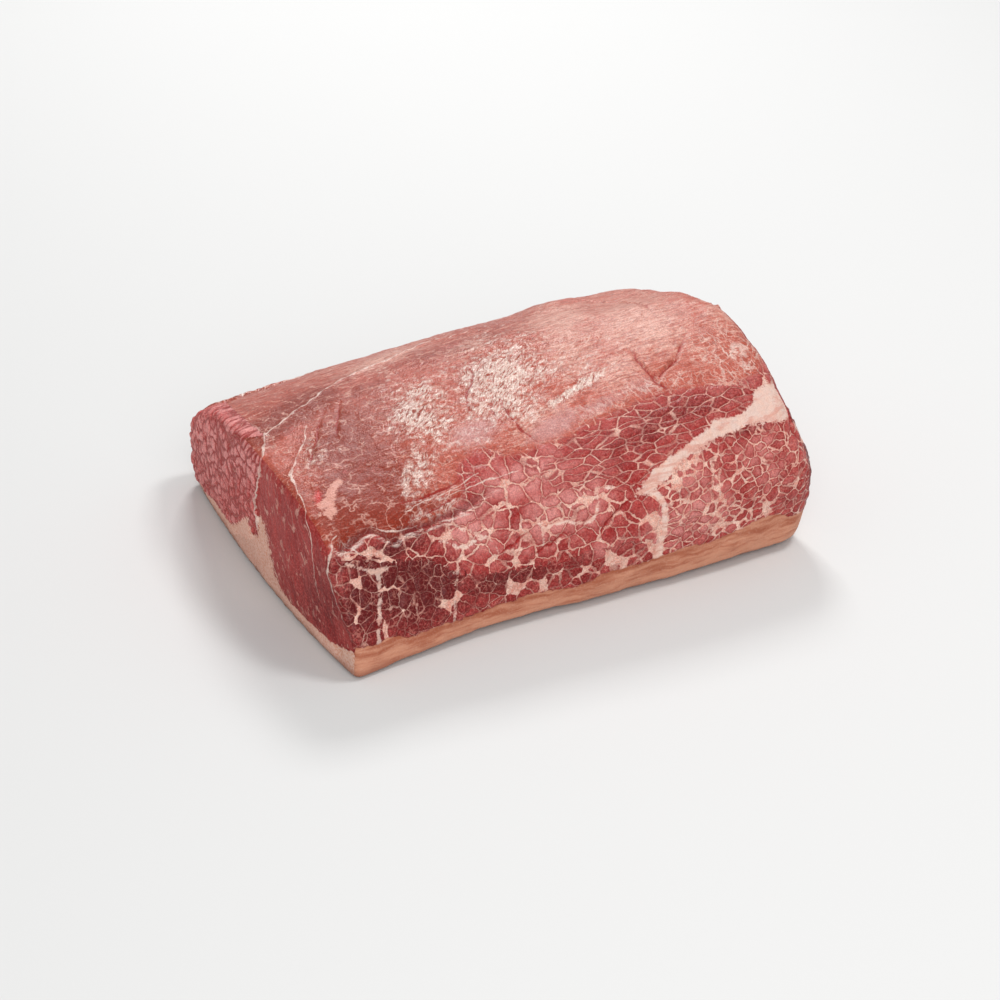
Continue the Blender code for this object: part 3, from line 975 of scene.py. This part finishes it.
def fat_over(g, f, fat, colour):
    """The seams, the webs and the wedge of fat, and the cap, darkened towards its bottom edge as a painted
    contact shadow.
    """
    end_fat = g.mix(g.step(f["fine"], 0.35, 0.6), END_FAT, FAT_CREAM, "RGBA")
    strands = g.noise(g.stretched(f["bent"], (16.0, 5.0, 2.0)), 1.0, 3.0, 0.6)
    seam = g.mix(g.step(f["mottle"], 0.3, 0.8), FAT_WHITE_AND_GLINT, FAT_CREAM, "RGBA")
    seam = g.mix(g.times(g.step(strands, 0.46, 0.6), 0.6), seam, FAT_PINK, "RGBA")
    seam = g.mix(f["is_end"], seam, end_fat, "RGBA")
    seam = g.mix(g.times(f["covered"], 0.8), seam, FAT_PINK, "RGBA")
    opaque = g.times(fat["shape"], g.mix(f["is_block"], 0.92, 0.65))
    colour = g.mix(opaque, colour, seam, "RGBA")

    deeper = g.plus(strands, g.times(g.field("cap"), -0.02))
    cap = g.mix(g.step(deeper, 0.22, 0.64), CAP_PALE, CAP, "RGBA")
    cap = g.mix(g.times(g.step(f["fine"], 0.5, 0.72), 0.14), cap, FAT_CREAM, "RGBA")
    cap = g.mix(f["is_end"], cap, end_fat, "RGBA")
    # Painted contact shadow: the cap darker towards the floor
    foot_shade = g.step(g.plus(g.parts(f["place"])[2], g.times(f["broad"], 3.0)), 5.0, 0.5)
    cap = g.mix(g.times(foot_shade, 0.65), cap, CAP_FOOT_SHADE, "RGBA")
    return g.mix(fat["cap"], colour, cap, "RGBA")


def marks_over(g, f, fibres, colour):
    """The veins and the painted glint lines drawn like them, the gashes, and the ledge with painted shade
    under its overhang and a painted highlight along its raised edge.
    """
    # Veins in white fat, and among them painted glint lines
    distance, width = line_distance(g, "veins")
    distance = g.plus(distance, g.times(f["ragged"], 0.6))
    vein_and_glint = g.step(g.minus(distance, g.times(width, g.plus(f["thick"], 0.25))), 0.18, -0.1)
    vein_and_glint = g.times(vein_and_glint, g.ramp(f["clear"], 0.0, 1.0, 0.5, 0.9))
    colour = g.mix(vein_and_glint, colour, FAT_WHITE_AND_GLINT, "RGBA")
    # Each gash: a deep red line, the flesh in the cut with painted shade in its groove
    distance, depth = line_distance(g, "gashes")
    distance = g.plus(distance, g.times(f["ragged"], 1.8))
    gash = g.times(g.step(distance, 0.7, 0.1), g.step(depth, 0.0, 1.0))
    colour = g.mix(g.times(gash, 0.8), colour, GASH_RED_AND_SHADE, "RGBA")
    raised, sunk = ledge_sides(g)
    across = g.parts(g.field("ledge", vector=True))[0]
    # Painted shade: dark lean red laid under the ledge's overhang
    foot_shade = g.plus(across, g.times(f["ragged"], 3.0))
    foot_shade = g.times(g.step(foot_shade, -4.0, -1.0), g.step(foot_shade, 0.5, -0.5), g.step(sunk, 0.0, 1.5))
    colour = g.mix(g.times(foot_shade, 0.55), colour, LEAN_DARK_AND_SHADE, "RGBA")
    # Painted highlight: a pale glint along the raised edge of the ledge
    lip_highlight = g.times(g.step(across, 0.0, 0.6), g.step(across, 2.4, 0.9), g.step(raised, 0.0, 0.8))
    return g.mix(g.times(lip_highlight, g.step(fibres, 0.42, 0.6), 0.7), colour, SHEEN_AND_PALE_FAT, "RGBA")


def contrasted(g, f, fat, colour):
    """The colour with fine grit, and with painted light on the ends: brighter deep inside an end's face
    and darker near its outline, and brighter still on the far muscle.
    """
    grit = g.noise(f["place"], 0.55, 3.0, 0.7)
    grit = g.mix(g.math("MAXIMUM", fat["cap"], g.times(fat["shape"], 0.7)), grit, 0.5)
    contrast = g.ramp(grit, 0.25, 0.75, 0.55, 1.45)
    lift = g.mix(f["is_end"], 1.0, g.ramp(g.field("end"), 0.0, 6.0, 0.82, 1.16))
    lift = g.times(lift, g.mix(f["is_far"], 1.0, 1.12))
    return g.vector("SCALE", colour, g.times(contrast, lift))


def fine_relief(g, f, fat, fibres, wrinkles):
    """What the mesh is too coarse for, in millimetres."""
    ridges = g.times(g.step(f["edge"], 0.0, 1.0), g.mix(f["is_end"], 0.16, 0.10))
    meaty = g.times(g.rest_of(g.times(fat["cap"], 0.8)), g.rest_of(g.times(f["is_end"], 0.6)))
    return g.plus(
        g.times(ridges, g.rest_of(fat["cap"]), g.rest_of(f["covered"])),
        g.times(g.noise(f["place"], 0.6, 2.0), meaty, 0.20),
        g.times(g.noise(f["place"], 1.5, 2.0), meaty, 0.35),
        g.times(fibres, f["covered"], 0.22),
        g.times(wrinkles, g.plus(g.times(g.field("wet"), -2.2), -0.2)),
    )


def beef():
    """One material for the whole roast."""
    material = bpy.data.materials.new("raw_beef")
    material.use_nodes = True
    tree = material.node_tree
    g = Graph(tree)
    surface = tree.nodes["Principled BSDF"]
    f = meat_fields(g)
    f["mottle"] = g.noise(f["place"], 3.0, 3.0)
    fat = fat_share(g, f)
    wrinkle = g.stretched(shaken(g, f["bent"], 3.0, 1.2), (4.4, 1.0, 1.8), (0, 0, -42))
    wrinkles = g.math("ABSOLUTE", centred(g, wrinkle, 1.0, 1.5))
    fibres = g.noise(g.stretched(f["bent"], (8.0, 0.9, 1.6), (0, 0, 4)), 1.0, 4.0, 0.65)

    colour = network_over(g, f, fat, far_colour(g, f, lean_colour(g, f)))
    skin = membrane_colour(g, f, fibres, wrinkles, g.math("MAXIMUM", fat["lines"], fat["faint"]))
    colour = g.mix(f["covered"], colour, skin, "RGBA")
    colour = fat_over(g, f, fat, colour)
    colour = marks_over(g, f, fibres, colour)
    g.put(contrasted(g, f, fat, colour), surface.inputs["Base Color"])

    height = fine_relief(g, f, fat, fibres, wrinkles)
    bump = g.add("ShaderNodeBump", {"Height": height, "Distance": MM, "Strength": FINE_STRENGTH})
    g.put(bump.outputs[0], surface.inputs["Normal"])
    rough = g.ramp(g.field("wet"), 0.0, 1.0, MOIST, SOAKED)
    dull = g.math("MAXIMUM", fat["cap"], f["is_end"])
    g.put(g.mix(dull, rough, DULL), surface.inputs["Roughness"])
    surface.inputs["Specular IOR Level"].default_value = SPECULAR
    return material


# ---------------------------------------------------------------- the roast


def add_roast():
    shell = Shell(dense_shell(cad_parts["roast"]))
    add_fields(shell)
    mesh = add_relief(shell.mesh)
    mesh.materials.clear()
    mesh.materials.append(beef())
    mesh.shade_smooth()
    roast = bpy.data.objects.new("roast_meat", mesh)
    bpy.context.scene.collection.objects.link(roast)
    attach(roast, "root")
    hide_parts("roast")
    print("roast triangles:", sum(len(face.vertices) - 2 for face in mesh.polygons))


# ---------------------------------------------------------------- studio


def plain(name, colour, roughness):
    material = bpy.data.materials.new(name)
    material.use_nodes = True
    surface = material.node_tree.nodes["Principled BSDF"]
    surface.inputs["Base Color"].default_value = colour
    surface.inputs["Roughness"].default_value = roughness
    return material


FLOOR_SIZE = 8.0
FLOOR_DROP = 0.3 * MM  # keeps the floor clear of the roast's flat base
FLOOR_COLOUR = (0.66, 0.66, 0.655, 1.0)
FLOOR_ROUGHNESS = 0.8
DOME_STRENGTH = 0.5
AIM = (0.0, 0.0, 0.04)  # the lights point here

# Each light's place, its width and height in metres, and its power in watts
LIGHTS = {
    "key": ((0.52, 0.95, 0.95), (0.36, 0.30), 10),
    "overhead": ((0.36, -0.25, 1.05), (0.24, 0.24), 4),
    "fill": ((-0.5, -1.1, 0.7), (0.9, 0.9), 10),
}


def add_floor():
    bpy.ops.mesh.primitive_plane_add(size=FLOOR_SIZE, location=(0, 0, -FLOOR_DROP))
    floor = bpy.context.object
    floor.name = "floor"
    floor.data.materials.append(plain("pale_floor", FLOOR_COLOUR, FLOOR_ROUGHNESS))


def add_light(name, place, size, power):
    """A rectangular white light that points at the roast."""
    light = bpy.data.lights.new(name, "AREA")
    light.shape = "RECTANGLE"
    light.size, light.size_y = size
    light.energy = power
    lamp = bpy.data.objects.new(name, light)
    lamp.location = place
    aim = Vector(AIM) - Vector(place)
    lamp.rotation_euler = aim.to_track_quat("-Z", "Y").to_euler()
    bpy.context.scene.collection.objects.link(lamp)


def add_studio():
    """A pale dome, three soft lights, and colours shown as they are."""
    world = bpy.data.worlds.new("studio")
    world.use_nodes = True
    background = world.node_tree.nodes["Background"]
    background.inputs["Color"].default_value = (1, 1, 1, 1)
    background.inputs["Strength"].default_value = DOME_STRENGTH
    bpy.context.scene.world = world
    for name, (place, size, power) in LIGHTS.items():
        add_light(name, place, size, power)
    bpy.context.scene.view_settings.view_transform = "Standard"


add_camera()
add_floor()
add_studio()
add_roast()
